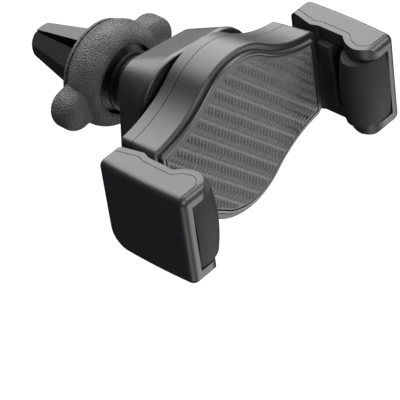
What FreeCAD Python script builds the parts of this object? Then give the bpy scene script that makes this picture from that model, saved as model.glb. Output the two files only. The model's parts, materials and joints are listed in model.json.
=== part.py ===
import FreeCAD, Part
import math
import os
from FreeCAD import Vector

# Phone holder that clips to the blades of an air vent. Millimetres.
# The middle axis is Y: +Y points into the vent, -Y at the driver, Z is up.
# The origin is the middle of the finger grip on the vent blade.

# Vent clip
grip_to_tip = 8.8
finger_length = 22.0
finger_radius_root = 10.6
finger_radius_tip = 5.1
tip_round = 1.5
slot_width_root = 3.5
slot_width_tip = 0.45
clip_roll_deg = 25.0
base_thickness = 2.2
shank_radius = 6.0

# Clamp nut, its sleeve and its travel
sleeve_setback = 1.2
sleeve_length = 4.1
sleeve_outer_radius = 12.3
sleeve_mouth_wall = 0.4
sleeve_cone_rise = 2.15
sleeve_clearance = 0.12
nut_length = 4.3
nut_inset = 1.3
nut_travel = 3.0
nut_stop_gap = 0.4
knob_setback = 0.9
knob_length = 11.4
knob_wall = 1.8
knob_belly_rise = 1.3
knob_mouth_inset = 0.6
knob_rim_thickness = 0.8
wing_reach = 1.1
wing_round = 5.9
wing_length = 9.0
wing_setback = 0.5
wing_edge_round = 3.2
wing_tilt_deg = 8.5

# Ball stud
spigot_radius = 3.5
spigot_length = 7.0
collar_radius = 9.0
step_radius = 7.9
collar_thickness = 0.9
neck_radius = 3.8
ball_reach = 15.1
ball_radius = 7.5
liner_wall = 1.13
liner_lip = 3.2
liner_slit = 0.8
running_gap = 0.06

# Neck housing with its socket, and the swivel that carries the cradle
socket_lip = 4.1
pod_length = 14.5
pod_half_size = 15.9
pod_corner_radius = 6.5
pod_edge_round = 1.2
pod_roll_deg = 8.0
flange_half_size = 21.4
flange_corner_radius = 13.0
flange_thickness = 1.5
seat_radius = 13.4
seat_depth = 8.6
seat_screw_inset = 2.1
swivel_hub_radius = 12.0
trunnion_radius = 8.0
snap_ring_groove = 1.0
snap_ring_overhang = 1.6
snap_ring_thickness = 1.0
swivel_washer_thickness = 0.5
swivel_washer_width = 3.0
cradle_gap = 2.0
face_gap = 0.05

# Cradle body
cradle_depth = 13.5
cradle_half_width = 32.5
crown_half_height = 26.5
crown_radius = 19.6
hollow_radius = 34.0
hollow_half_height = 14.2
outline_corner_radius = 3.0
back_inset = 1.6
front_edge_round = 0.6
back_edge_round = 0.7
shell_wall = 3.3
floor_thickness = 1.8
deck_thickness = 1.9
back_cover_depth = 4.2
cover_lip_wall = 0.9
cover_lip_height = 1.2
trim_seat = 0.8
trim_proud = 1.2
trim_inset = 1.9
trim_width = 1.1
trim_edge_round = 0.8
pad_thickness = 2.4
pad_proud = 0.1
pad_gap = 0.25
pad_groove_pitch = 4.45
pad_groove_start = -0.4
pad_groove_width = 1.5
pad_groove_depth = 0.25
pad_groove_angle = 46.0
shell_screw_inset_x = 5.1
shell_screw_inset_z = 13.7
boss_radius = 2.0
pilot_depth = 3.5
pilot_spare = 0.3

# Rack and pinion between the two jaws
gear_module = 0.8
pinion_teeth = 12
pressure_angle = 25.0
tooth_backlash = 0.05
rack_thickness = 2.8
rack_back = 3.8
rack_inner_reach = 24.0
rack_layer_gap = 1.6
jaw_travel = 12.0
slot_clearance = 0.2
guide_rib_width = 1.2
guide_rib_z = 9.0
post_radius = 2.0
pinion_hub_radius = 3.0
spring_strip = 0.35
spring_pitch = 1.2
spring_half_turns = 6

# Jaws, seen from above: their depths count from a plane just in front of the shell
jaw_plane_gap = 0.4
jaw_side_gap = 1.4
recess_depth = 8.3
jaw_half_height = 14.5
jaw_width = 9.0
jaw_back = 11.15
jaw_reach = 19.1
jaw_outer_bow = 220.0
jaw_edge_round = 2.2
jaw_back_top_corner = 2.2
jaw_back_low_corner = 6.5
jaw_front_corner = 2.2
hook_overhang = 3.0
hook_tip_depth = 14.2
frame_rim = 1.76
frame_front_bar = 1.7
frame_front_width = 7.1
cover_wall = 1.8
seam_width = 0.2
seam_depth = 0.4
window_half_height = 10.7
lip_thickness = 1.7
pad_roll_inset = 2.1
pad_roll_depth = 13.5
pad_roll_half_width = 7.6
pad_roll_half_depth = 5.4
pad_roll_crown = 1.1
pad_rib_overhang = 1.3
pad_rib_flare = 1.1
pad_rib_near = 0.35
pad_rib_far = 4.95
pad_base_thickness = 1.2
foot_setback = 3.0
foot_thickness = 2.0
foot_depth = 6.6
foot_half_height = 9.5
jaw_screw_z = 6.0

# Small fasteners
screw_shaft_radius = 0.9
screw_head_radius = 1.7
screw_head_height = 1.2

# Places that follow from the sizes above
sleeve_mouth_radius = sleeve_outer_radius - sleeve_mouth_wall
sleeve_throat_radius = sleeve_mouth_radius - sleeve_cone_rise
nut_radius = sleeve_outer_radius - nut_inset
knob_rear_radius = sleeve_outer_radius + knob_wall
knob_belly_radius = knob_rear_radius + knob_belly_rise
knob_mouth_radius = nut_radius - knob_mouth_inset
wing_centre_radius = knob_belly_radius + wing_reach
recess_half_width = cradle_half_width + jaw_side_gap
seat_screw_circle = seat_radius - seat_screw_inset
shell_screw_x = crown_radius - shell_screw_inset_x
shell_screw_z = crown_half_height - shell_screw_inset_z

# Stations along Y that follow from the sizes above
tip_y = grip_to_tip
root_y = tip_y - finger_length
sleeve_rear_y = root_y - sleeve_setback
sleeve_front_y = sleeve_rear_y - sleeve_length
nut_rear_y = sleeve_front_y - sleeve_clearance
nut_front_y = nut_rear_y - nut_length
knob_rear_y = root_y - knob_setback
knob_front_y = knob_rear_y - knob_length
collar_y = nut_front_y - nut_travel - nut_stop_gap
ball_y = collar_y - ball_reach
pod_rear_y = ball_y + socket_lip
flange_front_y = pod_rear_y - pod_length
cradle_back_y = flange_front_y - cradle_gap
floor_inner_y = cradle_back_y - floor_thickness
parting_y = cradle_back_y - back_cover_depth
shell_front_y = cradle_back_y - cradle_depth
trim_y = shell_front_y + trim_seat
trim_front_y = shell_front_y - trim_proud
pad_face_y = trim_front_y - pad_proud
deck_front_y = pad_face_y + pad_thickness
deck_inner_y = deck_front_y + deck_thickness
washer_front_y = floor_inner_y - face_gap - swivel_washer_thickness
ring_rear_y = washer_front_y - face_gap
ring_front_y = ring_rear_y - snap_ring_thickness
trunnion_end_y = ring_front_y - snap_ring_thickness * 0.3
rack_rear_y = trunnion_end_y - rack_layer_gap
rack_front_y = rack_rear_y - rack_thickness
jaw_plane_y = shell_front_y - jaw_plane_gap
jaw_back_y = jaw_plane_y + jaw_back
jaw_front_y = jaw_plane_y - jaw_reach
jaw_outer_x = recess_half_width + jaw_width
foot_x = recess_half_width + foot_setback

# Radii that follow
liner_inner_radius = ball_radius + running_gap
liner_outer_radius = liner_inner_radius + liner_wall
socket_radius = liner_outer_radius + running_gap
pitch_radius = gear_module * pinion_teeth / 2
tooth_pitch = math.pi * gear_module
rack_root_z = pitch_radius + 1.25 * gear_module
rack_tip_z = pitch_radius - gear_module
rack_back_z = rack_root_z + rack_back

FAR = 200.0


def box(x0, x1, y0, y1, z0, z1):
    return Part.makeBox(x1 - x0, y1 - y0, z1 - z0, Vector(x0, y0, z0))


def rod(radius, y0, y1, x=0.0, z=0.0):
    return Part.makeCylinder(radius, y1 - y0, Vector(x, y0, z), Vector(0, 1, 0))


def turned(profile):
    """Solid of revolution about Y from (radius, y) points."""
    points = [Vector(radius, y, 0) for radius, y in profile]
    face = Part.Face(Part.makePolygon(points + points[:1]))
    return face.revolve(Vector(0, 0, 0), Vector(0, 1, 0), 360)


def spun(shape, angle):
    """Copy turned about the Y axis."""
    copy = shape.copy()
    copy.rotate(Vector(0, 0, 0), Vector(0, 1, 0), angle)
    return copy


def fused(first, others):
    return first.multiFuse(others).removeSplitter()


def edges_in_plane(shape, axis, value, slack=0.01):
    """Edges that lie wholly in one plane across an axis."""
    found = []
    for edge in shape.Edges:
        low = getattr(edge.BoundBox, axis + "Min")
        high = getattr(edge.BoundBox, axis + "Max")
        if abs(low - value) < slack and abs(high - value) < slack:
            found.append(edge)
    return found


def rounded_face(half_u, half_v, radius, place):
    """Rectangle with round corners; place puts (u, v) in space."""
    u, v = half_u - radius, half_v - radius
    k = radius * math.sqrt(0.5)
    edges = []
    corners = [(u, v, 1, 1), (-u, v, -1, 1), (-u, -v, -1, -1), (u, -v, 1, -1)]
    for number, (cu, cv, su, sv) in enumerate(corners):
        along_u = place(cu, cv + sv * radius)
        along_v = place(cu + su * radius, cv)
        middle = place(cu + su * k, cv + sv * k)
        first, last = (along_v, along_u) if number % 2 == 0 else (along_u, along_v)
        edges.append(Part.Arc(first, middle, last).toShape())
        nu, nv, nsu, nsv = corners[(number + 1) % 4]
        if number % 2 == 0:
            start, end = along_u, place(nu, nv + nsv * radius)
        else:
            start, end = along_v, place(nu + nsu * radius, nv)
        edges.append(Part.LineSegment(start, end).toShape())
    return Part.Face(Part.Wire(edges))


def cradle_outline(y, inset=0.0):
    """Front view of the cradle: a crown above and below that sweeps into two narrow ends."""
    crown_z = crown_half_height - crown_radius
    hollow_z = hollow_half_height + hollow_radius
    reach = crown_radius + hollow_radius
    hollow_x = math.sqrt(reach**2 - (hollow_z - crown_z) ** 2)
    inner_crown = crown_radius - inset
    inner_hollow = hollow_radius + inset
    lean = math.atan2(hollow_z - crown_z, hollow_x)
    meet_x = inner_crown * math.cos(lean)
    meet_z = crown_z + inner_crown * math.sin(lean)
    end_x = cradle_half_width - inset
    end_z = hollow_z - math.sqrt(inner_hollow**2 - (hollow_x - end_x) ** 2)
    mid_x = (meet_x + end_x) / 2
    mid_z = hollow_z - math.sqrt(inner_hollow**2 - (hollow_x - mid_x) ** 2)
    edges = []
    for side in (1, -1):
        left = Vector(-side * meet_x, y, side * meet_z)
        right = Vector(side * meet_x, y, side * meet_z)
        top = Vector(0, y, side * (crown_z + inner_crown))
        edges.append(Part.Arc(left, top, right).toShape())
        middle = Vector(side * mid_x, y, side * mid_z)
        end = Vector(side * end_x, y, side * end_z)
        edges.append(Part.Arc(right, middle, end).toShape())
        low = Vector(side * end_x, y, -side * end_z)
        edges.append(Part.LineSegment(end, low).toShape())
        low_middle = Vector(side * mid_x, y, -side * mid_z)
        low_meet = Vector(side * meet_x, y, -side * meet_z)
        edges.append(Part.Arc(low, low_middle, low_meet).toShape())
    return Part.Face(Part.Wire(Part.__sortEdges__(edges)))


def cradle_block(y0, y1, inset=0.0):
    """The cradle outline between two depths, with its four corners rounded."""
    block = cradle_outline(y0, inset).extrude(Vector(0, y1 - y0, 0))
    corners = []
    for edge in block.Edges:
        size = edge.BoundBox
        thin = size.XLength < 0.01 and size.ZLength < 0.01
        if thin and abs(abs(size.XMin) - (cradle_half_width - inset)) < 0.01:
            corners.append(edge)
    radius = max(outline_corner_radius - inset, 0.3)
    return block.makeFillet(radius, corners)


def cradle_section(y, inset):
    """Wire round the cradle outline at one depth."""
    block = cradle_block(y, y + 1.0, inset)
    return [face.OuterWire for face in block.Faces if face.BoundBox.YMax < y + 0.01][0]


def cradle_form():
    """The whole outside of the cradle: it widens from the back to the front."""
    ends = [cradle_section(shell_front_y, 0.0), cradle_section(cradle_back_y, back_inset)]
    form = Part.makeLoft(ends, True, True)
    form = form.makeFillet(front_edge_round, edges_in_plane(form, "Y", shell_front_y))
    return form.makeFillet(back_edge_round, edges_in_plane(form, "Y", cradle_back_y))


def layer(form, y0, y1):
    return form.common(box(-FAR, FAR, y0, y1, -FAR, FAR))


def screw_places():
    return [(sx * shell_screw_x, sz * shell_screw_z) for sx in (1, -1) for sz in (1, -1)]


def screw(head_y, length, direction, x, z):
    """Pan head screw along Y; the head stands on head_y, the shaft runs in the direction."""
    if direction > 0:
        head = rod(screw_head_radius, head_y - screw_head_height, head_y, x, z)
        shaft = rod(screw_shaft_radius, head_y, head_y + length, x, z)
    else:
        head = rod(screw_head_radius, head_y, head_y + screw_head_height, x, z)
        shaft = rod(screw_shaft_radius, head_y - length, head_y, x, z)
    return head.fuse(shaft).removeSplitter()


def finger_section(y, radius):
    """Eight-sided section: every second corner is the ridge of a finger, the others are slit."""
    points = []
    for number in range(8):
        angle = math.radians(45 * number + clip_roll_deg)
        points.append(Vector(radius * math.cos(angle), y, radius * math.sin(angle)))
    return Part.makePolygon(points + points[:1])


def finger_slot(angle):
    """Wedge along Y: wide at the root of the fingers, narrow at their tips."""
    slot_y = sleeve_front_y + base_thickness
    end_y = tip_y + 1.0
    points = [
        Vector(-slot_width_root / 2, slot_y, -FAR),
        Vector(slot_width_root / 2, slot_y, -FAR),
        Vector(slot_width_tip / 2, end_y, -FAR),
        Vector(-slot_width_tip / 2, end_y, -FAR),
    ]
    wedge = Part.Face(Part.makePolygon(points + points[:1])).extrude(Vector(0, 0, 2 * FAR))
    root = Part.makeCylinder(slot_width_root / 2, 2 * FAR, Vector(0, slot_y, -FAR), Vector(0, 0, 1))
    return spun(wedge.fuse(root), angle)


def make_clip_body():
    """Four fingers on a base disc, and the threaded shank that carries the clamp nut."""
    start_y = root_y - 1.0
    corner = finger_radius_tip
    ends = [finger_section(start_y, finger_radius_root), finger_section(tip_y, corner)]
    fingers = Part.makeLoft(ends, True, True)
    envelope = turned(
        [
            (0, start_y),
            (finger_radius_root * 1.3, start_y),
            (corner + tip_round, tip_y - 2 * tip_round),
            (corner - 0.4 * tip_round, tip_y - 0.4 * tip_round),
            (corner - tip_round, tip_y),
            (0, tip_y),
        ]
    )
    fingers = fingers.common(envelope)
    shoulder = turned(
        [
            (0, sleeve_front_y),
            (sleeve_throat_radius - sleeve_clearance, sleeve_front_y),
            (sleeve_mouth_radius - sleeve_clearance, sleeve_rear_y),
            (sleeve_mouth_radius - sleeve_clearance, start_y),
            (0, start_y),
        ]
    )
    body = fingers.fuse(shoulder)
    for angle in (-clip_roll_deg, 90 - clip_roll_deg):
        body = body.cut(finger_slot(angle))
    shank = rod(shank_radius, collar_y, sleeve_front_y)
    bore = rod(spigot_radius, collar_y, collar_y + spigot_length)
    return body.fuse(shank).cut(bore).removeSplitter()


def make_ball_stud():
    """Ball on a flared neck, with a stepped collar against the shank and a spigot inside it."""
    neck_y = collar_y - 2 * collar_thickness
    stem = turned(
        [
            (0, ball_y),
            (neck_radius, ball_y),
            (neck_radius, ball_y + ball_radius + 0.6),
            (step_radius - 1.4, neck_y - 1.6),
            (step_radius - 0.5, neck_y),
            (step_radius, neck_y),
            (step_radius, collar_y - collar_thickness),
            (collar_radius, collar_y - collar_thickness),
            (collar_radius, collar_y),
            (spigot_radius, collar_y),
            (spigot_radius, collar_y + spigot_length - 0.3),
            (0, collar_y + spigot_length - 0.3),
        ]
    )
    ball = Part.makeSphere(ball_radius, Vector(0, ball_y, 0))
    return stem.fuse(ball).removeSplitter()


def make_clamp_sleeve():
    """Ring with a cone inside that presses on the shoulders of the fingers."""
    outer = sleeve_outer_radius
    return turned(
        [
            (sleeve_throat_radius, sleeve_front_y),
            (outer, sleeve_front_y),
            (outer, sleeve_rear_y),
            (sleeve_mouth_radius, sleeve_rear_y),
        ]
    )


def make_nut_core():
    """Threaded bush with flats that the rubber grip is moulded on."""
    bush = rod(nut_radius, nut_front_y, nut_rear_y)
    flats = []
    for number in range(6):
        depth = nut_radius * 0.94
        cutter = box(depth, FAR, nut_front_y + 1.2, nut_rear_y - 1.2, -FAR, FAR)
        flats.append(spun(cutter, 60.0 * number))
    bush = bush.cut(flats[0].multiFuse(flats[1:]))
    return bush.cut(rod(shank_radius + running_gap, nut_front_y, nut_rear_y))


def make_knob_grip():
    """Domed rubber ring with two opposite wings and a thin flange at its rear edge."""
    belly_y = knob_front_y + 3.1
    rim_y = knob_rear_y - knob_rim_thickness
    arc_points = [
        Vector(knob_rear_radius - 0.5, rim_y, 0),
        Vector(knob_belly_radius, belly_y + 1.0, 0),
        Vector(knob_belly_radius - 1.7, knob_front_y + 0.9, 0),
    ]
    side = Part.Arc(arc_points[0], arc_points[1], arc_points[2]).toShape()
    nose_end = Vector(knob_mouth_radius, knob_front_y + 0.3, 0)
    nose_mid = Vector(knob_mouth_radius + 1.6, knob_front_y - 0.05, 0)
    nose = Part.Arc(arc_points[2], nose_mid, nose_end).toShape()
    inner = [
        nose_end,
        Vector(knob_mouth_radius, nut_front_y, 0),
        Vector(nut_radius, nut_front_y, 0),
        Vector(nut_radius, nut_rear_y, 0),
        Vector(sleeve_outer_radius + 2 * running_gap, nut_rear_y, 0),
        Vector(sleeve_outer_radius + 2 * running_gap, knob_rear_y, 0),
        Vector(knob_rear_radius, knob_rear_y, 0),
        Vector(knob_rear_radius, rim_y, 0),
        arc_points[0],
    ]
    wire = Part.Wire([side, nose, Part.makePolygon(inner)])
    ring = Part.Face(wire).revolve(Vector(0, 0, 0), Vector(0, 1, 0), 360)
    wing_rear = knob_rear_y - wing_setback
    wing_front = wing_rear - wing_length
    spread = wing_round * 1.15
    tip_x = wing_centre_radius
    upper, lower = Vector(tip_x, wing_front, wing_round), Vector(tip_x, wing_front, -wing_round)
    upper_root, lower_root = Vector(0, wing_front, spread), Vector(0, wing_front, -spread)
    outline = [
        Part.LineSegment(upper_root, upper).toShape(),
        Part.Arc(upper, Vector(tip_x + wing_round, wing_front, 0), lower).toShape(),
        Part.LineSegment(lower, lower_root).toShape(),
        Part.LineSegment(lower_root, upper_root).toShape(),
    ]
    wing = Part.Face(Part.Wire(outline)).extrude(Vector(0, wing_length, 0))
    rims = []
    for station in (wing_front, wing_rear):
        for edge in edges_in_plane(wing, "Y", station):
            if edge.BoundBox.XMax > 1.0:
                rims.append(edge)
    wing = wing.makeFillet(wing_edge_round, rims)
    wing = wing.common(box(knob_mouth_radius * 0.6, FAR, -FAR, FAR, -FAR, FAR))
    wings = spun(wing, -wing_tilt_deg).fuse(spun(wing, 180 - wing_tilt_deg))
    hollow = turned(
        [
            (0, knob_front_y - 1),
            (knob_mouth_radius, knob_front_y - 1),
            (knob_mouth_radius, nut_front_y),
            (nut_radius, nut_front_y),
            (nut_radius, nut_rear_y),
            (sleeve_outer_radius + 2 * running_gap, nut_rear_y),
            (sleeve_outer_radius + 2 * running_gap, knob_rear_y + 1),
            (0, knob_rear_y + 1),
        ]
    )
    return ring.fuse(wings.cut(hollow)).removeSplitter()


def make_ball_liner():
    """Slit plastic cup between the ball and its socket."""
    centre = Vector(0, ball_y, 0)
    shell = Part.makeSphere(liner_outer_radius, centre)
    shell = shell.cut(Part.makeSphere(liner_inner_radius, centre))
    shell = shell.cut(box(-FAR, FAR, ball_y + liner_lip, FAR, -FAR, FAR))
    shell = shell.cut(rod(post_radius, ball_y - FAR, ball_y))
    half = liner_slit / 2
    for angle in (45, 135):
        slit = box(-half, half, ball_y - 1.0, FAR, -FAR, FAR)
        shell = shell.cut(spun(slit, angle))
    return shell


def seat_screw_places():
    angles = [math.radians(90 + 120 * number) for number in range(3)]
    return [(seat_screw_circle * math.cos(a), seat_screw_circle * math.sin(a)) for a in angles]


def make_neck_housing():
    """Tapered housing, a rounded square that grows softer and wider towards the cradle."""
    base_y = flange_front_y + flange_thickness

    def front(u, v):
        return Vector(u, base_y, v)

    def rear(u, v):
        return Vector(u, pod_rear_y, v)

    wide = rounded_face(flange_half_size, flange_half_size, flange_corner_radius, front)
    narrow = rounded_face(pod_half_size, pod_half_size, pod_corner_radius, rear)
    body = Part.makeLoft([wide.OuterWire, narrow.OuterWire], True, True)
    body = body.makeFillet(pod_edge_round, edges_in_plane(body, "Y", pod_rear_y))
    flange = wide.extrude(Vector(0, -flange_thickness, 0))
    flange = flange.makeFillet(0.4, edges_in_plane(flange, "Y", flange_front_y))
    body = spun(body.fuse(flange), pod_roll_deg)
    body = body.cut(rod(seat_radius, flange_front_y, flange_front_y + seat_depth))
    body = body.cut(Part.makeSphere(socket_radius, Vector(0, ball_y, 0)))
    for x, z in seat_screw_places():
        hole_y = flange_front_y + seat_depth
        body = body.cut(rod(screw_shaft_radius, hole_y, hole_y + 2.5, x, z))
    return body.removeSplitter()


def make_socket_seat():
    """Plug that closes the socket from the front and carries the swivel trunnion."""
    seat = turned(
        [
            (0, trunnion_end_y),
            (trunnion_radius, trunnion_end_y),
            (trunnion_radius, ring_front_y),
            (trunnion_radius - snap_ring_groove, ring_front_y),
            (trunnion_radius - snap_ring_groove, ring_rear_y),
            (trunnion_radius, ring_rear_y),
            (trunnion_radius, cradle_back_y + face_gap),
            (swivel_hub_radius, cradle_back_y + face_gap),
            (swivel_hub_radius, flange_front_y),
            (seat_radius, flange_front_y),
            (seat_radius, flange_front_y + seat_depth),
            (0, flange_front_y + seat_depth),
        ]
    )
    seat = seat.cut(Part.makeSphere(socket_radius, Vector(0, ball_y, 0)))
    seat = seat.cut(rod(trunnion_radius * 0.55, trunnion_end_y, cradle_back_y + 0.6))
    head_y = flange_front_y + screw_head_height
    for x, z in seat_screw_places():
        seat = seat.cut(rod(screw_head_radius, cradle_back_y, head_y, x, z))
        seat = seat.cut(rod(screw_shaft_radius, head_y, flange_front_y + seat_depth, x, z))
    return seat


def make_seat_screws():
    head_y = flange_front_y + screw_head_height
    length = seat_depth - screw_head_height + 2.2
    screws = [screw(head_y, length, 1, x, z) for x, z in seat_screw_places()]
    return Part.makeCompound(screws)


def make_snap_ring():
    """Split ring in the groove of the trunnion."""
    inner = trunnion_radius - snap_ring_groove
    outer = trunnion_radius + snap_ring_overhang
    ring = rod(outer, ring_front_y, ring_rear_y).cut(rod(inner, ring_front_y, ring_rear_y))
    return ring.cut(box(-1.5, 1.5, -FAR, FAR, 0, FAR))


def make_swivel_washer():
    inner = trunnion_radius + running_gap
    rear = floor_inner_y - face_gap
    ring = rod(inner + swivel_washer_width, washer_front_y, rear)
    return ring.cut(rod(inner, washer_front_y, rear))


def arm_slot():
    """Way through the end wall for the right arm."""
    inner_x = cradle_half_width - shell_wall - cover_lip_wall - 2 * slot_clearance
    y0, y1 = rack_front_y - slot_clearance / 2, rack_rear_y + slot_clearance / 2
    return box(inner_x, FAR, y0, y1, -rack_back_z - slot_clearance, -rack_root_z + slot_clearance)


def make_back_cover(form):
    """Flat rear shell of the cradle with the swivel hole, screw posts and rack guides."""
    cover = layer(form, parting_y, cradle_back_y)
    cover = cover.cut(cradle_block(parting_y, floor_inner_y, shell_wall))
    lip = cradle_block(parting_y - cover_lip_height, floor_inner_y, shell_wall + slot_clearance / 2)
    lip = lip.cut(cradle_block(parting_y - FAR, floor_inner_y, shell_wall + cover_lip_wall))
    parts = [lip]
    post_y = (floor_inner_y + deck_inner_y) / 2
    for x, z in screw_places():
        parts.append(rod(boss_radius, post_y, floor_inner_y, x, z))
    rib_start = trunnion_radius + swivel_washer_width + 2.0
    rib_end = cradle_half_width - shell_wall - cover_lip_wall - slot_clearance / 2
    for side in (1, -1):
        low, high = sorted((side * rib_start, side * rib_end))
        z0 = guide_rib_z - guide_rib_width / 2
        rib = box(low, high, rack_rear_y + slot_clearance / 2, floor_inner_y, z0, z0 + guide_rib_width)
        parts.append(rib)
        parts.append(rib.mirror(Vector(0, 0, 0), Vector(0, 0, 1)))
    cover = fused(cover, parts)
    slot = arm_slot()
    cover = cover.cut(slot).cut(spun(slot, 180))
    cover = cover.cut(rod(trunnion_radius + running_gap, parting_y, cradle_back_y))
    for x, z in screw_places():
        cover = cover.cut(rod(screw_shaft_radius, post_y, post_y + pilot_depth, x, z))
    return cover


def make_front_shell(form):
    """Deep front shell: deck under the pad, screw tubes, pinion post and rack slots."""
    shell = layer(form, shell_front_y, parting_y)
    shell = shell.cut(cradle_block(deck_inner_y, parting_y, shell_wall))
    shell = shell.cut(cradle_block(shell_front_y, trim_y, trim_inset))
    shell = shell.cut(cradle_block(shell_front_y, deck_front_y, trim_inset + trim_width))
    post_y = (floor_inner_y + deck_inner_y) / 2
    parts = [rod(post_radius, deck_inner_y, rack_rear_y + rack_layer_gap / 2)]
    for x, z in screw_places():
        parts.append(rod(boss_radius, deck_inner_y, post_y - face_gap, x, z))
    rib_end = cradle_half_width - shell_wall
    z0 = guide_rib_z - guide_rib_width / 2
    for side in (1, -1):
        low, high = sorted((side * z0, side * (z0 + guide_rib_width)))
        parts.append(box(-rib_end, rib_end, deck_inner_y, rack_front_y - slot_clearance / 2, low, high))
    peg = spring_outer_radius()
    parts.append(box(peg, peg + 1.4, deck_inner_y, rack_front_y - 0.3, -1.2, 1.2))
    shell = fused(shell, parts)
    slot = arm_slot()
    shell = shell.cut(slot).cut(spun(slot, 180))
    head_y = deck_front_y + screw_head_height
    for x, z in screw_places():
        shell = shell.cut(rod(screw_head_radius, deck_front_y, head_y, x, z))
        shell = shell.cut(rod(screw_shaft_radius, head_y, post_y, x, z))
    return shell


def make_trim_ring():
    """Bezel round the pad; it stands out of the shell."""
    ring = cradle_block(trim_front_y, trim_y, trim_inset)
    ring = ring.makeFillet(trim_edge_round, edges_in_plane(ring, "Y", trim_front_y))
    return ring.cut(cradle_block(trim_front_y, trim_y, trim_inset + trim_width))


def make_face_pad():
    """Soft pad behind the phone, with shallow diagonal channels."""
    pad = cradle_block(pad_face_y, deck_front_y, trim_inset + trim_width + pad_gap)
    pad = pad.makeFillet(0.3, edges_in_plane(pad, "Y", pad_face_y))
    reach = cradle_half_width + crown_half_height
    low, high = int(-reach / pad_groove_pitch), int(reach / pad_groove_pitch)
    for number in range(low, high + 1):
        middle = pad_groove_start + number * pad_groove_pitch
        near, far = middle - pad_groove_width / 2, middle + pad_groove_width / 2
        channel = box(near, far, pad_face_y - 1, pad_face_y + pad_groove_depth, -FAR, FAR)
        pad = pad.cut(spun(channel, pad_groove_angle - 90))
    return pad


def make_shell_screws():
    """Four screws under the pad that hold the two shells together."""
    head_y = deck_front_y + screw_head_height
    post_y = (floor_inner_y + deck_inner_y) / 2
    length = post_y + pilot_depth - pilot_spare - head_y
    screws = [screw(head_y, length, 1, x, z) for x, z in screw_places()]
    return Part.makeCompound(screws)


def spring_outer_radius():
    start = pinion_hub_radius + 0.15
    return start + spring_half_turns / 2 * spring_pitch + spring_strip + 0.05


def make_return_spring():
    """Flat spiral spring of half circles round the pinion hub; it closes the jaws."""
    start = pinion_hub_radius + 0.15
    y0 = deck_inner_y + 0.15

    def half_circles(radius):
        arcs = []
        for number in range(spring_half_turns):
            size = radius + number * spring_pitch / 2
            centre = (number % 2) * spring_pitch / 2
            side = 1 if number % 2 == 0 else -1
            first = Vector(centre + side * size, y0, 0)
            middle = Vector(centre, y0, side * size)
            last = Vector(centre - side * size, y0, 0)
            arcs.append(Part.Arc(first, middle, last).toShape())
        return arcs

    inner = half_circles(start)
    outer = half_circles(start + spring_strip)
    ends = []
    for first, second, number in ((inner[0], outer[0], 0), (inner[-1], outer[-1], -1)):
        near = first.Vertexes[number].Point
        far = second.Vertexes[number].Point
        ends.append(Part.LineSegment(near, far).toShape())
    wire = Part.Wire(Part.__sortEdges__(inner + outer + ends))
    return Part.Face(wire).extrude(Vector(0, rack_front_y - 0.3 - y0, 0))


def involute(angle):
    return math.tan(angle) - angle


def tooth_half_angle(radius):
    """Half the angle that a pinion tooth fills at a radius."""
    lean = math.radians(pressure_angle)
    base = pitch_radius * math.cos(lean)
    half = math.pi / (2 * pinion_teeth) - tooth_backlash / pitch_radius
    here = math.acos(min(base / radius, 1.0))
    return half + involute(lean) - involute(here)


def make_pinion():
    """Involute pinion with a hub for the spring."""
    base = pitch_radius * math.cos(math.radians(pressure_angle))
    tip = pitch_radius + gear_module
    foot = pitch_radius - 1.25 * gear_module
    y0 = rack_front_y + face_gap
    steps = [base + (tip - base) * number / 4 for number in range(5)]

    def point(radius, angle):
        return Vector(radius * math.cos(angle), y0, radius * math.sin(angle))

    edges = []
    half = tooth_half_angle(base)
    pitch_angle = 2 * math.pi / pinion_teeth
    for number in range(pinion_teeth):
        middle = number * pitch_angle
        rising = [point(r, middle - tooth_half_angle(r)) for r in steps]
        falling = [point(r, middle + tooth_half_angle(r)) for r in reversed(steps)]
        foot_in = point(foot, middle - half)
        foot_out = point(foot, middle + half)
        next_foot = point(foot, middle + pitch_angle - half)
        edges.append(Part.LineSegment(foot_in, rising[0]).toShape())
        flank = Part.BSplineCurve()
        flank.interpolate(rising)
        edges.append(flank.toShape())
        edges.append(Part.Arc(rising[-1], point(tip, middle), falling[0]).toShape())
        flank = Part.BSplineCurve()
        flank.interpolate(falling)
        edges.append(flank.toShape())
        edges.append(Part.LineSegment(falling[-1], foot_out).toShape())
        edges.append(Part.Arc(foot_out, point(foot, middle + pitch_angle / 2), next_foot).toShape())
    gear = Part.Face(Part.Wire(edges)).extrude(Vector(0, rack_thickness - 2 * face_gap, 0))
    hub = rod(pinion_hub_radius, deck_inner_y + face_gap, y0 + 0.5)
    bore = rod(post_radius + running_gap, deck_inner_y, rack_rear_y)
    return gear.fuse(hub).cut(bore).removeSplitter()


def make_pinion_clip():
    """Push-on ring at the end of the pinion post."""
    y0 = rack_rear_y + face_gap
    y1 = rack_rear_y + rack_layer_gap / 2 - face_gap
    return rod(post_radius + 1.8, y0, y1).cut(rod(post_radius, y0, y1))


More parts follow.
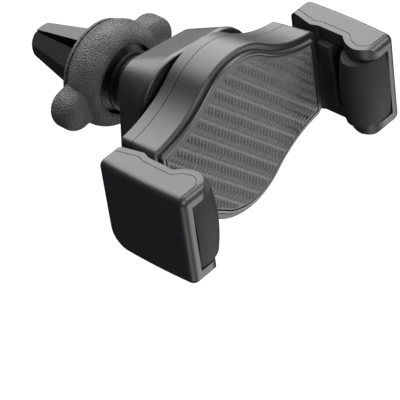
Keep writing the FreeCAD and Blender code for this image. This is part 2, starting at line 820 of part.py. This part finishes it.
def make_right_arm():
    """Rail with rack teeth that runs under the pinion, and the foot that holds the jaw."""
    rail = box(
        -rack_inner_reach, foot_x + foot_thickness, rack_front_y, rack_rear_y, -rack_back_z, -rack_root_z
    )
    lean = math.tan(math.radians(pressure_angle))
    half = tooth_pitch / 4 - tooth_backlash
    first = -int((jaw_travel + 1.3 * pitch_radius) / tooth_pitch) - 1
    last = int(1.3 * pitch_radius / tooth_pitch) + 1
    teeth = []
    sink = 0.2
    for number in range(first, last):
        x = (number + 0.5) * tooth_pitch
        root = half + (1.25 * gear_module + sink) * lean
        tip = half - gear_module * lean
        points = [
            Vector(x - root, rack_front_y, -rack_root_z - sink),
            Vector(x + root, rack_front_y, -rack_root_z - sink),
            Vector(x + tip, rack_front_y, -rack_tip_z),
            Vector(x - tip, rack_front_y, -rack_tip_z),
        ]
        tooth = Part.Face(Part.makePolygon(points + points[:1]))
        teeth.append(tooth.extrude(Vector(0, rack_thickness, 0)))
    foot_rear = rack_rear_y - 0.05
    foot_front = foot_rear - foot_depth
    foot = box(foot_x, foot_x + foot_thickness, foot_front, rack_rear_y, -foot_half_height, foot_half_height)
    arm = fused(rail, teeth + [foot])
    for z in (jaw_screw_z, -jaw_screw_z):
        start = Vector(foot_x - 1, jaw_screw_y(), z)
        arm = arm.cut(Part.makeCylinder(screw_shaft_radius, FAR, start, Vector(1, 0, 0)))
    return arm


def jaw_screw_y():
    return rack_front_y - foot_depth * 0.35


def jaw_plan():
    """Top view of the right jaw; the sides away from the phone are left open and far off."""
    x, y = recess_half_width, jaw_plane_y
    far_back = Vector(x + 1.0, y + FAR, 0)
    back = Vector(x + 1.0, y + jaw_back - 0.8, 0)
    swell = Vector(x - 0.8, y + 2.7, 0)
    near = Vector(x, y + 0.4, 0)
    deep = Vector(x, y - recess_depth, 0)
    ramp = Vector(x - 0.62 * hook_overhang, y - recess_depth - 0.38 * (hook_tip_depth - recess_depth), 0)
    hook = Vector(x - hook_overhang, y - hook_tip_depth, 0)
    nose = Vector(x - 0.53 * hook_overhang, y - hook_tip_depth - 0.63 * (jaw_reach - hook_tip_depth), 0)
    front = Vector(x + 1.5, y - jaw_reach, 0)
    far_front = Vector(x + FAR, y - jaw_reach, 0)
    far_corner = Vector(x + FAR, y + FAR, 0)
    edges = [
        Part.LineSegment(far_back, back).toShape(),
        Part.LineSegment(back, swell).toShape(),
        Part.LineSegment(swell, near).toShape(),
        Part.LineSegment(near, deep).toShape(),
        Part.Arc(deep, ramp, hook).toShape(),
        Part.Arc(hook, nose, front).toShape(),
        Part.LineSegment(front, far_front).toShape(),
        Part.LineSegment(far_front, far_corner).toShape(),
        Part.LineSegment(far_corner, far_back).toShape(),
    ]
    return Part.Face(Part.Wire(edges))


def jaw_profile(x, inset=0.0):
    """Side view of a jaw at one X: its lower rear corner is the soft one."""
    mid_y = (jaw_back_y + jaw_front_y) / 2
    u = (jaw_back_y - jaw_front_y) / 2 - inset
    v = jaw_half_height - inset
    corners = [
        (u, v, max(jaw_back_top_corner - inset, 0.3)),
        (u, -v, max(jaw_back_low_corner - inset, 0.3)),
        (-u, -v, max(jaw_front_corner - inset, 0.3)),
        (-u, v, max(jaw_front_corner - inset, 0.3)),
    ]

    def at(a, b):
        return Vector(x, mid_y + a, b)

    edges = []
    k = 1 - math.sqrt(0.5)
    for number, (cu, cv, radius) in enumerate(corners):
        su, sv = math.copysign(1, cu), math.copysign(1, cv)
        along_v = at(cu, cv - sv * radius)
        along_u = at(cu - su * radius, cv)
        middle = at(cu - su * radius * k, cv - sv * radius * k)
        edges.append(Part.Arc(along_v, middle, along_u).toShape())
        nu, nv, next_radius = corners[(number + 1) % 4]
        if number % 2 == 0:
            edges.append(Part.LineSegment(along_v, at(nu, nv + sv * next_radius)).toShape())
        else:
            edges.append(Part.LineSegment(along_u, at(nu - -su * next_radius, nv)).toShape())
    return Part.Face(Part.Wire(Part.__sortEdges__(edges)))


def jaw_block():
    """Soft block that cover and frame are cut from."""
    start_x = recess_half_width - hook_overhang - 2.0
    block = jaw_profile(start_x).extrude(Vector(jaw_outer_x + 1 - start_x, 0, 0))
    bow_centre = Vector(jaw_outer_x - jaw_outer_bow, (jaw_back_y + jaw_front_y) / 2, -FAR)
    block = block.common(Part.makeCylinder(jaw_outer_bow, 2 * FAR, bow_centre, Vector(0, 0, 1)))
    rim = [edge for edge in block.Edges if edge.BoundBox.XMin > jaw_outer_x - 1.5]
    return block.makeFillet(jaw_edge_round, rim)


def upright(face, half):
    """Prism of a plan face, equally above and below the middle plane."""
    prism = face.extrude(Vector(0, 0, 2 * half))
    prism.translate(Vector(0, 0, -half))
    return prism


def front_bar_x():
    return recess_half_width + frame_front_width - frame_front_bar


def seam_groove(inside):
    """Shallow groove in the cover's edge along the joint with the frame."""
    strip = upright(inside, FAR).cut(upright(inside.makeOffset2D(-seam_width), FAR + 1))
    start_x = recess_half_width - hook_overhang - 2.0
    core = jaw_profile(start_x, seam_depth).extrude(Vector(jaw_outer_x - seam_depth - start_x, 0, 0))
    return strip.cut(core)


def make_jaw_cover(block, rim, inside):
    """Outer half of a jaw: a soft shell, open towards the phone."""
    cover = block.cut(rim).cut(seam_groove(inside))
    start_x = recess_half_width - hook_overhang - 2.0
    end_x = jaw_outer_x - cover_wall
    hollow = jaw_profile(start_x, cover_wall).extrude(Vector(end_x - start_x, 0, 0))
    half = jaw_half_height - cover_wall
    hollow = hollow.fuse(box(start_x, end_x, jaw_front_y, jaw_front_y + 2 * cover_wall, -half, half))
    cover = cover.cut(hollow.common(upright(inside, jaw_half_height)))
    boss_x = foot_x + foot_thickness
    for z in (jaw_screw_z, -jaw_screw_z):
        start = Vector(boss_x, jaw_screw_y(), z)
        length = jaw_outer_x - cover_wall - boss_x
        boss = Part.makeCylinder(boss_radius, length + 0.5, start, Vector(1, 0, 0))
        hole = Part.makeCylinder(screw_shaft_radius, length, start, Vector(1, 0, 0))
        cover = cover.fuse(boss).cut(hole)
    return cover.removeSplitter()


def make_jaw_frame(block, rim, inside, arm_side):
    """Inner half of a jaw: rim, two lips and the front bar; arm_side is -1 where the arm runs low."""
    frame = block.common(rim)
    lip_top = window_half_height + lip_thickness
    plates = upright(inside, lip_top)
    room = box(0, front_bar_x() + frame_front_bar, jaw_front_y, jaw_plane_y - recess_depth / 2, -FAR, FAR)
    plates = plates.common(room)
    frame = frame.fuse(plates)
    window = box(
        0, front_bar_x(), jaw_front_y - 1, jaw_plane_y - 0.1, -window_half_height, window_half_height
    )
    frame = frame.cut(window)
    y0 = rack_front_y - slot_clearance / 2
    y1 = rack_rear_y + slot_clearance / 2
    ends = (arm_side * (rack_back_z + slot_clearance), arm_side * (rack_root_z - slot_clearance))
    frame = frame.cut(box(0, foot_x, y0, y1, min(ends), max(ends)))
    return frame.removeSplitter()


def make_jaw_pad():
    """Rubber liner: a rib that meets the phone's edge and a crowned roll over its front."""
    centre_x = recess_half_width + pad_roll_inset
    centre_y = jaw_plane_y - pad_roll_depth
    half = window_half_height - 0.3
    sections = []
    for share in (-1.0, -0.5, 0.0, 0.5, 1.0):
        grow = pad_roll_crown * (1 - share**2)
        middle = Vector(centre_x, centre_y, share * half)
        long_axis = Vector(centre_x - pad_roll_half_width - grow, centre_y, share * half)
        short_axis = Vector(centre_x, centre_y + pad_roll_half_depth + grow * 0.8, share * half)
        ellipse = Part.Ellipse(long_axis, short_axis, middle)
        sections.append(Part.Wire(ellipse.toShape()))
    roll = Part.makeLoft(sections, True, False)
    roll = roll.common(box(0, front_bar_x() - 0.3, -FAR * 2, 0, -FAR, FAR))
    rib_x = recess_half_width - pad_rib_overhang
    root_x = recess_half_width + frame_rim + 0.2
    rib_y = jaw_plane_y - pad_rib_far
    points = [
        Vector(rib_x, rib_y, -half),
        Vector(rib_x, rib_y, 0.1 * half),
        Vector(rib_x - pad_rib_flare, rib_y, half),
        Vector(root_x, rib_y, half),
        Vector(root_x, rib_y, -half),
    ]
    rib = Part.Face(Part.makePolygon(points + points[:1]))
    rib = rib.extrude(Vector(0, pad_rib_far - pad_rib_near, 0))
    soft = [edge for edge in rib.Edges if edge.BoundBox.XMax < rib_x + 0.01 and edge.BoundBox.ZLength > 1.0]
    rib = rib.makeFillet(0.8, soft)
    base = box(
        recess_half_width + frame_rim + 0.1,
        recess_half_width + frame_rim + 0.1 + pad_base_thickness,
        centre_y,
        jaw_plane_y - pad_rib_near,
        -half,
        half,
    )
    return fused(roll, [rib, base])


def make_jaw_screws():
    """Two screws that hold cover and foot together."""
    screws = []
    for z in (jaw_screw_z, -jaw_screw_z):
        along = Vector(1, 0, 0)
        head_start = Vector(foot_x - screw_head_height, jaw_screw_y(), z)
        head = Part.makeCylinder(screw_head_radius, screw_head_height, head_start, along)
        length = jaw_outer_x - cover_wall - foot_x - 0.3
        shaft = Part.makeCylinder(screw_shaft_radius, length, Vector(foot_x, jaw_screw_y(), z), along)
        screws.append(head.fuse(shaft).removeSplitter())
    return Part.makeCompound(screws)


def make_jaw_parts(arm_side):
    """The right jaw's pieces, for an arm that comes in low (-1) or high (1)."""
    plan = jaw_plan()
    inside = plan.makeOffset2D(-frame_rim)
    block = jaw_block()
    rim = upright(plan, FAR).cut(upright(inside, FAR + 1))
    body = block.common(upright(plan, FAR))
    return {
        "jaw_cover": make_jaw_cover(body, rim, inside),
        "jaw_frame": make_jaw_frame(body, rim, inside, arm_side),
        "jaw_pad": make_jaw_pad(),
        "jaw_screws": make_jaw_screws(),
    }


def build():
    form = cradle_form()
    nodes = {
        "clip_body": make_clip_body(),
        "ball_stud": make_ball_stud(),
        "clamp_sleeve": make_clamp_sleeve(),
        "nut_core": make_nut_core(),
        "knob_grip": make_knob_grip(),
        "ball_liner": make_ball_liner(),
        "neck_housing": make_neck_housing(),
        "socket_seat": make_socket_seat(),
        "seat_screws": make_seat_screws(),
        "snap_ring": make_snap_ring(),
        "swivel_washer": make_swivel_washer(),
        "back_cover": make_back_cover(form),
        "front_shell": make_front_shell(form),
        "trim_ring": make_trim_ring(),
        "face_pad": make_face_pad(),
        "shell_screws": make_shell_screws(),
        "return_spring": make_return_spring(),
        "pinion": make_pinion(),
        "pinion_clip": make_pinion_clip(),
    }
    right_arm = make_right_arm()
    nodes["right_arm"] = right_arm
    nodes["left_arm"] = spun(right_arm, 180)
    for name, shape in make_jaw_parts(-1).items():
        nodes["right_" + name] = shape
    for name, shape in make_jaw_parts(1).items():
        nodes["left_" + name] = shape.mirror(Vector(0, 0, 0), Vector(1, 0, 0))
    return nodes


os.makedirs("parts", exist_ok=True)
for node, solid in build().items():
    solid.exportStep("parts/" + node + ".step")
    print(node, len(solid.Solids), round(solid.Volume, 1), solid.isValid())
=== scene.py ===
import json
import math
import bpy
import numpy as np
from mathutils import Matrix, Vector


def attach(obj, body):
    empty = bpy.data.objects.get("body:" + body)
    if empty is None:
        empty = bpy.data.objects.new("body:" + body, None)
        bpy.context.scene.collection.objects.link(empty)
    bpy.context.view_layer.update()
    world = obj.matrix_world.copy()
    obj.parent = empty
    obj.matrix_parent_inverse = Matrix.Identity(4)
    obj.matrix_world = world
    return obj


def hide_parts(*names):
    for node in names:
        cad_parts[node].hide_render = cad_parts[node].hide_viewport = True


# Car phone holder: looks, soft pieces, lights and camera. Metres, in the frame of the model.
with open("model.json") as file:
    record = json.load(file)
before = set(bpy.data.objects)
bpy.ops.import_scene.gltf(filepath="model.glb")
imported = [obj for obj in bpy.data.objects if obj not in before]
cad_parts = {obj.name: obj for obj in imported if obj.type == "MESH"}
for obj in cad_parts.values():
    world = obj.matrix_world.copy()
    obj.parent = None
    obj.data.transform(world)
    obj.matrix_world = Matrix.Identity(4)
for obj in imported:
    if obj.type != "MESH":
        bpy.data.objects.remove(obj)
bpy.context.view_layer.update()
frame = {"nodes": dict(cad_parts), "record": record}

MM = 0.001
nodes = frame["nodes"]
NOISE_LOW, NOISE_HIGH = 0.3, 0.7
# Joint line round the middle of the cradle: painted shade, near black and without gloss, standing in for
# the shade in the gap between the shell parts.
SEAM_Y, SEAM_HALF_WIDTH, SEAM_REACH = -58.02, 0.1, 32.6
SEAM_SHADE_COLOUR = (0.001, 0.001, 0.001, 1.0)


# Materials
def ramp(tree, source, low, high):
    """Map a 0..1 noise to a range."""
    mapped = tree.nodes.new("ShaderNodeMapRange")
    mapped.inputs["From Min"].default_value = NOISE_LOW
    mapped.inputs["From Max"].default_value = NOISE_HIGH
    mapped.inputs["To Min"].default_value = low
    mapped.inputs["To Max"].default_value = high
    tree.links.new(source, mapped.inputs["Value"])
    return mapped.outputs["Result"]


def noise(tree, coords, size, detail=2.0):
    """Noise whose grains are about size metres wide."""
    texture = tree.nodes.new("ShaderNodeTexNoise")
    texture.inputs["Scale"].default_value = 1.0 / size
    texture.inputs["Detail"].default_value = detail
    tree.links.new(coords, texture.inputs["Vector"])
    return texture.outputs["Fac"]


def maths(tree, kind, first, second):
    """One step of arithmetic on numbers or sockets."""
    node = tree.nodes.new("ShaderNodeMath")
    node.operation = kind
    for number, value in enumerate((first, second)):
        if isinstance(value, (int, float)):
            node.inputs[number].default_value = value
        else:
            tree.links.new(value, node.inputs[number])
    return node.outputs[0]


def seam_shade_mask(tree, coords):
    """1 on the fine joint line round the middle of the cradle, where shade in the gap between the shell
    parts is painted, 0 elsewhere.
    """
    split = tree.nodes.new("ShaderNodeSeparateXYZ")
    tree.links.new(coords, split.inputs[0])
    beside = maths(tree, "ABSOLUTE", maths(tree, "ADD", split.outputs["Y"], -SEAM_Y * MM), 0.0)
    on_line = maths(tree, "LESS_THAN", beside, SEAM_HALF_WIDTH * MM)
    off_middle = maths(tree, "ABSOLUTE", split.outputs["X"], 0.0)
    inside = maths(tree, "LESS_THAN", off_middle, SEAM_REACH * MM)
    return maths(tree, "MULTIPLY", on_line, inside)


def surface(
    name, dark, light, rough, grain=0.25, depth=0.02, cloud=6.0, specular=0.5, metal=0.0, seam_shade=False
):
    """Moulded or metal surface: two close colours, uneven gloss and a fine grain; with seam_shade, painted
    shade on the cradle's joint line, near black and without gloss. Sizes in millimetres.
    """
    material = bpy.data.materials.new(name)
    material.use_nodes = True
    tree = material.node_tree
    shader = tree.nodes["Principled BSDF"]
    coords = tree.nodes.new("ShaderNodeTexCoord").outputs["Object"]
    broad = noise(tree, coords, cloud * MM, 3.0)
    fine = noise(tree, coords, grain * MM, 2.0)
    mix = tree.nodes.new("ShaderNodeMix")
    mix.data_type = "RGBA"
    mix.inputs["A"].default_value = (*dark, 1.0)
    mix.inputs["B"].default_value = (*light, 1.0)
    tree.links.new(ramp(tree, broad, 0.0, 1.0), mix.inputs["Factor"])
    colour = mix.outputs["Result"]
    gloss = ramp(tree, fine, rough[0], rough[1])
    if seam_shade:
        # Painted shade: the joint line between the shell parts is coloured near black and loses its gloss,
        # as if shade filled the gap.
        shade_mask = seam_shade_mask(tree, coords)
        seam_shaded = tree.nodes.new("ShaderNodeMix")
        seam_shaded.data_type = "RGBA"
        seam_shaded.inputs["B"].default_value = SEAM_SHADE_COLOUR
        tree.links.new(shade_mask, seam_shaded.inputs["Factor"])
        tree.links.new(colour, seam_shaded.inputs["A"])
        colour = seam_shaded.outputs["Result"]
        shine = maths(tree, "MULTIPLY", maths(tree, "SUBTRACT", 1.0, shade_mask), specular)
        tree.links.new(shine, shader.inputs["Specular IOR Level"])
    else:
        shader.inputs["Specular IOR Level"].default_value = specular
    tree.links.new(colour, shader.inputs["Base Color"])
    tree.links.new(gloss, shader.inputs["Roughness"])
    bump = tree.nodes.new("ShaderNodeBump")
    bump.inputs["Strength"].default_value = 1.0
    bump.inputs["Distance"].default_value = depth * MM
    tree.links.new(fine, bump.inputs["Height"])
    tree.links.new(bump.outputs["Normal"], shader.inputs["Normal"])
    shader.inputs["Metallic"].default_value = metal
    return material


LOOKS = {
    "shell_plastic": surface(
        "shell_plastic",
        (0.010, 0.010, 0.0115),
        (0.014, 0.014, 0.0155),
        (0.36, 0.46),
        grain=0.2,
        depth=0.012,
        # The shell carries the painted shade line on its joint with the back part.
        seam_shade=True,
    ),
    "gloss_trim": surface(
        "gloss_trim",
        (0.012, 0.012, 0.0135),
        (0.015, 0.015, 0.0165),
        (0.32, 0.42),
        grain=0.3,
        depth=0.006,
        specular=0.7,
    ),
    "clip_plastic": surface(
        "clip_plastic",
        (0.009, 0.009, 0.0105),
        (0.014, 0.014, 0.0155),
        (0.44, 0.56),
        grain=0.2,
        depth=0.014,
        specular=0.38,
    ),
    "knob_rubber": surface(
        "knob_rubber",
        (0.026, 0.026, 0.027),
        (0.062, 0.062, 0.063),
        (0.25, 0.48),
        grain=0.40,
        depth=0.85,
    ),
    "jaw_rubber": surface(
        "jaw_rubber",
        (0.009, 0.009, 0.010),
        (0.012, 0.012, 0.013),
        (0.62, 0.74),
        grain=0.2,
        depth=0.02,
        specular=0.22,
    ),
    "pad_rubber": surface(
        "pad_rubber",
        (0.054, 0.055, 0.057),
        (0.061, 0.062, 0.064),
        (0.42, 0.52),
        grain=0.25,
        depth=0.012,
        specular=0.32,
    ),
    "inner_plastic": surface(
        "inner_plastic",
        (0.2, 0.2, 0.2),
        (0.24, 0.24, 0.24),
        (0.4, 0.5),
        grain=0.3,
        depth=0.01,
    ),
    "steel": surface(
        "steel",
        (0.55, 0.55, 0.55),
        (0.62, 0.62, 0.62),
        (0.25, 0.35),
        grain=0.15,
        depth=0.004,
        metal=1.0,
    ),
}

for entry in frame["record"]["subparts"]:
    target = nodes[entry["node"]]
    look = LOOKS[entry["material_slot"]]
    if target.material_slots:
        for slot in target.material_slots:
            slot.material = look
    else:
        target.data.materials.append(look)


# Face pad
CROWN_Z, CROWN_RADIUS = 6.9, 19.6
HOLLOW_X, HOLLOW_Z, HOLLOW_RADIUS = 34.17, 48.2, 34.0
PAD_INSET = 3.25
PAD_HALF_WIDTH = 32.5 - PAD_INSET
PAD_FACE_Y, PAD_BACK_Y = -68.62, -66.22
BAND_ANGLE = math.radians(46.0)
BAND_PITCH, BAND_START = 4.45, 1.8
ROW_PLACE, BUMP_PITCH = 0.92, 1.6
BUMP_LONG, BUMP_WIDE, BUMP_HIGH, BUMP_LEAN = 0.68, 0.94, 0.5, 0.55
ROW_SHIFT = 0.25
EDGE_ROUND = 0.5
PLAIN_BORDER, BORDER_BLEND = 0.7, 0.5
COLUMNS, LINES = 420, 330


def half_height(x, inset):
    """Half height of the cradle's outline at x, drawn in by inset."""
    x = np.abs(x)
    crown = CROWN_RADIUS - inset
    hollow = HOLLOW_RADIUS + inset
    lean = math.atan2(HOLLOW_Z - CROWN_Z, HOLLOW_X)
    meet = crown * math.cos(lean)
    upper = CROWN_Z + np.sqrt(np.maximum(crown**2 - x**2, 0.0))
    lower = HOLLOW_Z - np.sqrt(np.maximum(hollow**2 - (HOLLOW_X - x) ** 2, 0.0))
    return np.where(x < meet, upper, lower)


def pad_relief(x, z):
    """How far the pad's face stands out at a point: bumps in diagonal bands, stripes between them."""
    along = x * math.cos(BAND_ANGLE) - z * math.sin(BAND_ANGLE)
    across = x * math.sin(BAND_ANGLE) + z * math.cos(BAND_ANGLE)
    band = np.round((across - BAND_START) / BAND_PITCH)
    local = across - BAND_START - band * BAND_PITCH
    side = np.where(local > 0.0, 1.0, -1.0)
    beside = local - side * ROW_PLACE
    step = (along + BUMP_LEAN * side * beside) / BUMP_PITCH + ROW_SHIFT * side
    place = (step - np.round(step)) * BUMP_PITCH
    reach = (place / BUMP_LONG) ** 2 + (beside / BUMP_WIDE) ** 2
    return BUMP_HIGH * np.sqrt(np.maximum(1.0 - reach, 0.0))


def make_pad():
    """The pad as a fine grid with its relief, a rim down to the back and one face behind."""
    columns, lines = COLUMNS, LINES
    x = np.linspace(-PAD_HALF_WIDTH, PAD_HALF_WIDTH, columns)
    v = np.linspace(-1.0, 1.0, lines)
    gx = np.repeat(x[:, None], lines, axis=1)
    half = half_height(gx, PAD_INSET)
    gz = half * v[None, :]
    border = np.minimum(half - np.abs(gz), PAD_HALF_WIDTH - np.abs(gx))
    arc = EDGE_ROUND - np.sqrt(np.maximum(EDGE_ROUND**2 - (EDGE_ROUND - border) ** 2, 0))
    drop = np.where(border < EDGE_ROUND, arc, 0)
    inner = np.clip((border - PLAIN_BORDER) / BORDER_BLEND, 0.0, 1.0)
    gy = PAD_FACE_Y + drop - pad_relief(gx, gz) * inner
    top = np.stack([gx, gy, gz], -1).reshape(-1, 3)
    ring = [(i, 0) for i in range(columns)] + [(columns - 1, j) for j in range(1, lines)]
    ring += [(i, lines - 1) for i in range(columns - 2, -1, -1)] + [(0, j) for j in range(lines - 2, 0, -1)]
    rim = np.array([[gx[i, j], PAD_BACK_Y, gz[i, j]] for i, j in ring])
    points = np.concatenate([top, rim]) * MM
    faces = []
    for i in range(columns - 1):
        for j in range(lines - 1):
            a = i * lines + j
            faces.append((a, a + lines, a + lines + 1, a + 1))
    base = columns * lines
    count = len(ring)
    for k in range(count):
        i, j = ring[k]
        n = (k + 1) % count
        ni, nj = ring[n]
        faces.append((i * lines + j, base + k, base + n, ni * lines + nj))
    faces.append(tuple(base + k for k in range(count)))
    mesh = bpy.data.meshes.new("face_pad_relief")
    mesh.from_pydata(points.tolist(), [], faces)
    mesh.shade_smooth()
    mesh.validate()
    pad = bpy.data.objects.new("face_pad_relief", mesh)
    bpy.context.scene.collection.objects.link(pad)
    mesh.materials.append(LOOKS["pad_rubber"])
    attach(pad, "cradle")
    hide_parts("face_pad")


make_pad()


# Light
LIT_POINT = Vector((0.0, -0.05, 0.0))


def softbox(name, direction, distance, width, height, energy):
    """Area light that looks at the middle of the object; the camera doesn't see it."""
    data = bpy.data.lights.new(name, "AREA")
    data.shape = "RECTANGLE"
    data.size = width
    data.size_y = height
    data.energy = energy
    light = bpy.data.objects.new(name, data)
    bpy.context.scene.collection.objects.link(light)
    light.location = LIT_POINT + Vector(direction).normalized() * distance
    light.rotation_mode = "QUATERNION"
    light.rotation_quaternion = (LIT_POINT - light.location).to_track_quat("-Z", "Y")
    light.visible_camera = False


softbox("top_box", (0.46, 0.55, 0.70), 0.9, 1.3, 1.3, 32.0)
softbox("front_high_box", (0.52, -0.62, 0.56), 1.1, 0.45, 0.45, 8.0)
softbox("left_flank_box", (-0.30, -0.80, 0.48), 1.1, 0.5, 0.5, 10.0)
softbox("low_left_box", (-0.55, -0.50, -0.64), 1.0, 0.5, 0.5, 2.4)
softbox("low_front_box", (0.40, -0.60, -0.70), 0.55, 0.45, 0.45, 2.3)



# Floor: white to the camera with a faint shadow, open from below, no bounce onto the dark plastic
FLOOR_Z, FLOOR_REACH, FLOOR_GLOW = -0.09, 2.0, 0.86


def make_floor():
    """A large flat sheet under the object."""
    corners = [(x, y, FLOOR_Z) for x, y in ((-1, -1), (1, -1), (1, 1), (-1, 1))]
    points = [(x * FLOOR_REACH, y * FLOOR_REACH, z) for x, y, z in corners]
    mesh = bpy.data.meshes.new("floor")
    mesh.from_pydata(points, [], [(0, 1, 2, 3)])
    floor = bpy.data.objects.new("floor", mesh)
    bpy.context.scene.collection.objects.link(floor)
    floor.visible_diffuse = False
    floor.visible_glossy = False
    floor.visible_shadow = False
    material = surface(
        "floor_paper",
        (0.86, 0.86, 0.86),
        (0.92, 0.92, 0.92),
        (0.8, 0.9),
        grain=2.0,
        depth=0.01,
        cloud=60.0,
    )
    tree = material.node_tree
    shader = tree.nodes["Principled BSDF"]
    glow = tree.nodes.new("ShaderNodeEmission")
    glow.inputs["Strength"].default_value = 1.0
    ray = tree.nodes.new("ShaderNodeLightPath")
    lit = tree.nodes.new("ShaderNodeMixShader")
    tree.links.new(maths(tree, "MULTIPLY", ray.outputs["Is Camera Ray"], FLOOR_GLOW), lit.inputs[0])
    tree.links.new(shader.outputs[0], lit.inputs[1])
    tree.links.new(glow.outputs[0], lit.inputs[2])
    side = tree.nodes.new("ShaderNodeNewGeometry")
    clear = tree.nodes.new("ShaderNodeBsdfTransparent")
    seen = tree.nodes.new("ShaderNodeMixShader")
    tree.links.new(side.outputs["Backfacing"], seen.inputs[0])
    tree.links.new(lit.outputs[0], seen.inputs[1])
    tree.links.new(clear.outputs[0], seen.inputs[2])
    tree.links.new(seen.outputs[0], tree.nodes["Material Output"].inputs["Surface"])
    mesh.materials.append(material)


make_floor()


# World: white behind the object, a dim cool room in reflections
ROOM_COLOUR, ROOM_STRENGTH = (0.9, 0.93, 1.0, 1.0), 0.06

world = bpy.context.scene.world or bpy.data.worlds.new("world")
bpy.context.scene.world = world
world.use_nodes = True
sky = world.node_tree
sky.nodes.clear()
path = sky.nodes.new("ShaderNodeLightPath")
white = sky.nodes.new("ShaderNodeBackground")
white.inputs["Color"].default_value = (1.0, 1.0, 1.0, 1.0)
room = sky.nodes.new("ShaderNodeBackground")
room.inputs["Color"].default_value = ROOM_COLOUR
room.inputs["Strength"].default_value = ROOM_STRENGTH
choose = sky.nodes.new("ShaderNodeMixShader")
output = sky.nodes.new("ShaderNodeOutputWorld")
sky.links.new(path.outputs["Is Camera Ray"], choose.inputs[0])
sky.links.new(room.outputs[0], choose.inputs[1])
sky.links.new(white.outputs[0], choose.inputs[2])
sky.links.new(choose.outputs[0], output.inputs["Surface"])


# Camera
AZIMUTH, ELEVATION, ROLL = math.radians(-42.40), math.radians(39.80), math.radians(-8.57)
DISTANCE = 0.6435
TARGET = Vector((-27.68, -77.44, 0.70)) * MM
LENS_MM, SENSOR_MM = 223.65, 36.0


def make_camera():
    """Camera that looks at the target from its azimuth and elevation, turned by its roll."""
    level = math.cos(ELEVATION)
    back = Vector((math.sin(AZIMUTH) * level, -math.cos(AZIMUTH) * level, math.sin(ELEVATION)))
    right = Vector((math.cos(AZIMUTH), math.sin(AZIMUTH), 0.0))
    up = back.cross(right)
    side = right * math.cos(ROLL) + up * math.sin(ROLL)
    high = up * math.cos(ROLL) - right * math.sin(ROLL)
    place = Matrix((side, high, back)).transposed().to_4x4()
    place.translation = TARGET + back * DISTANCE
    data = bpy.data.cameras.new("camera")
    data.lens = LENS_MM
    data.sensor_width = SENSOR_MM
    data.clip_start = 0.01
    data.clip_end = 10.0
    camera = bpy.data.objects.new("camera", data)
    camera.matrix_world = place
    bpy.context.scene.collection.objects.link(camera)
    bpy.context.scene.camera = camera


make_camera()
bpy.context.scene.view_settings.view_transform = "Standard"
